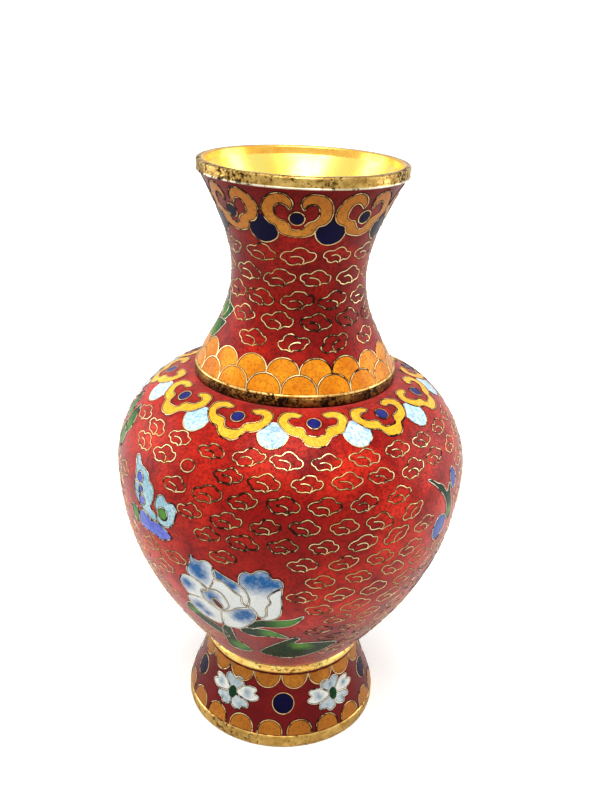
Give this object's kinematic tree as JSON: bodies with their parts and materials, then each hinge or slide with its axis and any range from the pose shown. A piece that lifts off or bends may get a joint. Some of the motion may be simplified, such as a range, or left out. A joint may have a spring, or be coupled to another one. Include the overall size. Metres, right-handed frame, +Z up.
{
  "type": "cloisonne vase",
  "caption": "Baluster vase with a flared mouth and spreading foot: copper sections joined by brass rings, covered in wire-inlaid enamel.",
  "frame": {"origin": "centre of the base, on the surface that the vase stands on", "axes": "+Z up along the vase's axis; -Y is the side with the peony towards its left"},
  "size_m": [0.09, 0.09, 0.152],
  "materials": {
    "gilt_brass": "gilt, rubbed bright on the edges, dark pits in the hollows",
    "tarnished_brass": "dark brown tarnish with a rubbed bright top edge",
    "gilt_copper": "spun copper, gilded and burnished on the inside",
    "wire_brass": "flattened wire, ground flush and gilded",
    "red_enamel": "fired glass, semi-gloss, fine dark pits and mottling",
    "dark_red_enamel": "fired glass, semi-gloss",
    "turquoise_enamel": "plain counter enamel",
    "ochre_enamel": "fired glass, fine dark pits",
    "orange_enamel": "fired glass, fine dark pits",
    "yellow_enamel": "fired glass, fine dark pits",
    "navy_enamel": "fired glass",
    "pale_blue_enamel": "white glass speckled with blue",
    "white_blue_enamel": "white glass shaded to blue",
    "violet_enamel": "fired glass",
    "cobalt_enamel": "fired glass",
    "green_enamel": "fired glass shaded light to dark"
  },
  "bodies": {
    "root": {"mouth_ring": "gilt_brass", "neck_shell": "gilt_copper", "neck_collar": "tarnished_brass", "shoulder_shell": "gilt_copper", "belly_shell": "gilt_copper", "foot_joint_ring": "gilt_brass", "foot_shell": "gilt_copper", "foot_ring": "gilt_brass", "base_plate": "gilt_copper", "neck_enamel": "red_enamel", "belly_enamel": "red_enamel", "foot_enamel": "dark_red_enamel", "base_enamel": "turquoise_enamel", "neck_heads_inlay": "ochre_enamel", "neck_lappets": "navy_enamel", "neck_dots": "navy_enamel", "neck_upper_scales": "orange_enamel", "neck_lower_scales": "orange_enamel", "neck_leaves": "green_enamel", "shoulder_heads_inlay": "yellow_enamel", "shoulder_lappets": "pale_blue_enamel", "shoulder_dots": "navy_enamel", "peony_bloom": "white_blue_enamel", "peony_heart": "white_blue_enamel", "peony_leaves": "green_enamel", "butterfly_wings": "pale_blue_enamel", "butterfly_body": "violet_enamel", "sprig_buds": "cobalt_enamel", "sprig_leaves": "green_enamel", "foot_upper_scales_inlay": "orange_enamel", "foot_lower_scales_inlay": "orange_enamel", "foot_bosses": "navy_enamel", "foot_petals": "white_blue_enamel", "foot_flower_centres": "green_enamel"}
  },
  "joints": []
}
